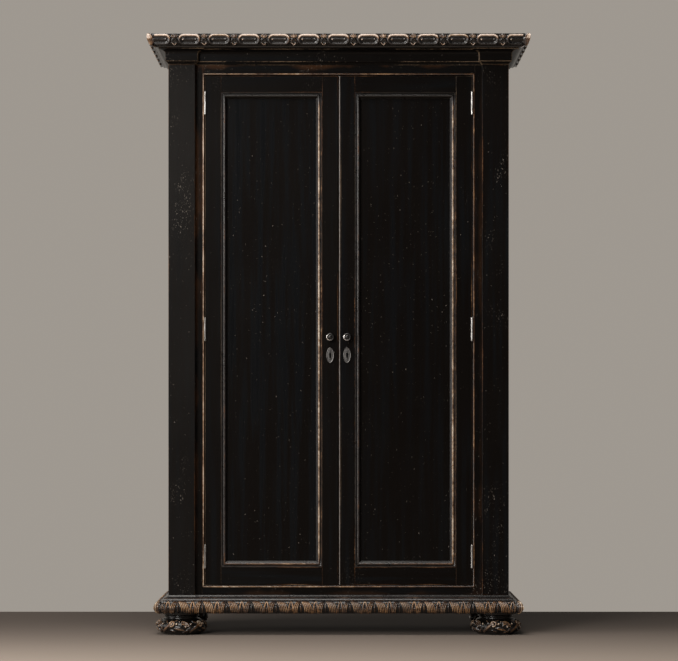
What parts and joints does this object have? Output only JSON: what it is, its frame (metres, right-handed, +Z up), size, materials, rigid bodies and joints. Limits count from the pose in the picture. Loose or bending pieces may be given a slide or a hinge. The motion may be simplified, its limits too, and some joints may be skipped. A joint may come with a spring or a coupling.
{
  "type": "armoire",
  "caption": "Tall armoire with panelled doors hung between pilasters, a carved crown and base on bun feet, and a hat shelf over a hanging rod inside.",
  "frame": {"origin": "centre of the bounding box's footprint, on the floor under the feet", "axes": "+Z up, the doors face -Y, the flat back faces +Y, +X to the right of someone facing the doors"},
  "size_m": [1.3844, 0.62, 2.18],
  "materials": {
    "painted_wood": "distressed black-brown paint, waxed, rubbed to bare wood on the edges",
    "carved_wood": "carved, black-brown paint rubbed through to warm wood on the high parts",
    "interior_wood": "dark stained boards, satin",
    "pewter": "aged pewter, satin",
    "steel": "worn steel"
  },
  "bodies": {
    "carcase": {"foot_front_left": "carved_wood", "foot_front_right": "carved_wood", "foot_rear_left": "carved_wood", "foot_rear_right": "carved_wood", "base_moulding_front": "carved_wood", "base_moulding_left": "carved_wood", "base_moulding_right": "carved_wood", "cornice_front": "painted_wood", "cornice_left": "painted_wood", "cornice_right": "painted_wood", "crown_band_front": "carved_wood", "crown_band_left": "carved_wood", "crown_band_right": "carved_wood", "pilaster_left": "painted_wood", "pilaster_right": "painted_wood", "side_panel_left": "painted_wood", "side_panel_right": "painted_wood", "frame_stile_left": "painted_wood", "frame_stile_right": "painted_wood", "cleat_left": "interior_wood", "cleat_right": "interior_wood", "back_panel": "interior_wood", "bottom_board": "interior_wood", "top_board": "interior_wood", "hat_shelf": "interior_wood", "hanging_rod": "interior_wood", "frame_rail_top": "painted_wood", "frame_rail_bottom": "painted_wood", "left_hinge_bottom_frame_leaf": "steel", "left_hinge_middle_frame_leaf": "steel", "left_hinge_top_frame_leaf": "steel", "right_hinge_bottom_frame_leaf": "steel", "right_hinge_middle_frame_leaf": "steel", "right_hinge_top_frame_leaf": "steel"},
    "left_door": {"left_door_meeting_stile": "painted_wood", "left_door_hinge_stile": "painted_wood", "left_door_rail_top": "painted_wood", "left_door_rail_bottom": "painted_wood", "left_door_panel": "painted_wood", "left_door_moulding": "painted_wood", "left_knob": "pewter", "left_escutcheon": "pewter", "left_hinge_bottom_door_leaf": "steel", "left_hinge_middle_door_leaf": "steel", "left_hinge_top_door_leaf": "steel"},
    "right_door": {"right_door_meeting_stile": "painted_wood", "right_door_hinge_stile": "painted_wood", "right_door_rail_top": "painted_wood", "right_door_rail_bottom": "painted_wood", "right_door_panel": "painted_wood", "right_door_moulding": "painted_wood", "right_knob": "pewter", "right_escutcheon": "pewter", "right_hinge_bottom_door_leaf": "steel", "right_hinge_middle_door_leaf": "steel", "right_hinge_top_door_leaf": "steel", "lock_case": "steel"},
    "top_bolt": {"top_bolt": "steel"},
    "bottom_bolt": {"bottom_bolt": "steel"},
    "lock_bolt": {"lock_bolt": "steel"}
  },
  "joints": [
    {"name": "left_door_hinge", "type": "hinge", "parent": "carcase", "child": "left_door", "pos_m": [-0.4868, -0.2223, 1.1115], "axis": [0, 0, -1], "range_deg": [0, 140]},
    {"name": "right_door_hinge", "type": "hinge", "parent": "carcase", "child": "right_door", "pos_m": [0.4868, -0.2223, 1.1115], "axis": [0, 0, 1], "range_deg": [0, 140]},
    {"name": "lock_bolt_slide", "type": "slide", "parent": "right_door", "child": "lock_bolt", "axis": [-1, 0, 0], "range_m": [0, 0.01]},
    {"name": "top_bolt_slide", "type": "slide", "parent": "left_door", "child": "top_bolt", "axis": [0, 0, 1], "range_m": [0, 0.018]},
    {"name": "bottom_bolt_slide", "type": "slide", "parent": "left_door", "child": "bottom_bolt", "axis": [0, 0, -1], "range_m": [0, 0.018]}
  ]
}
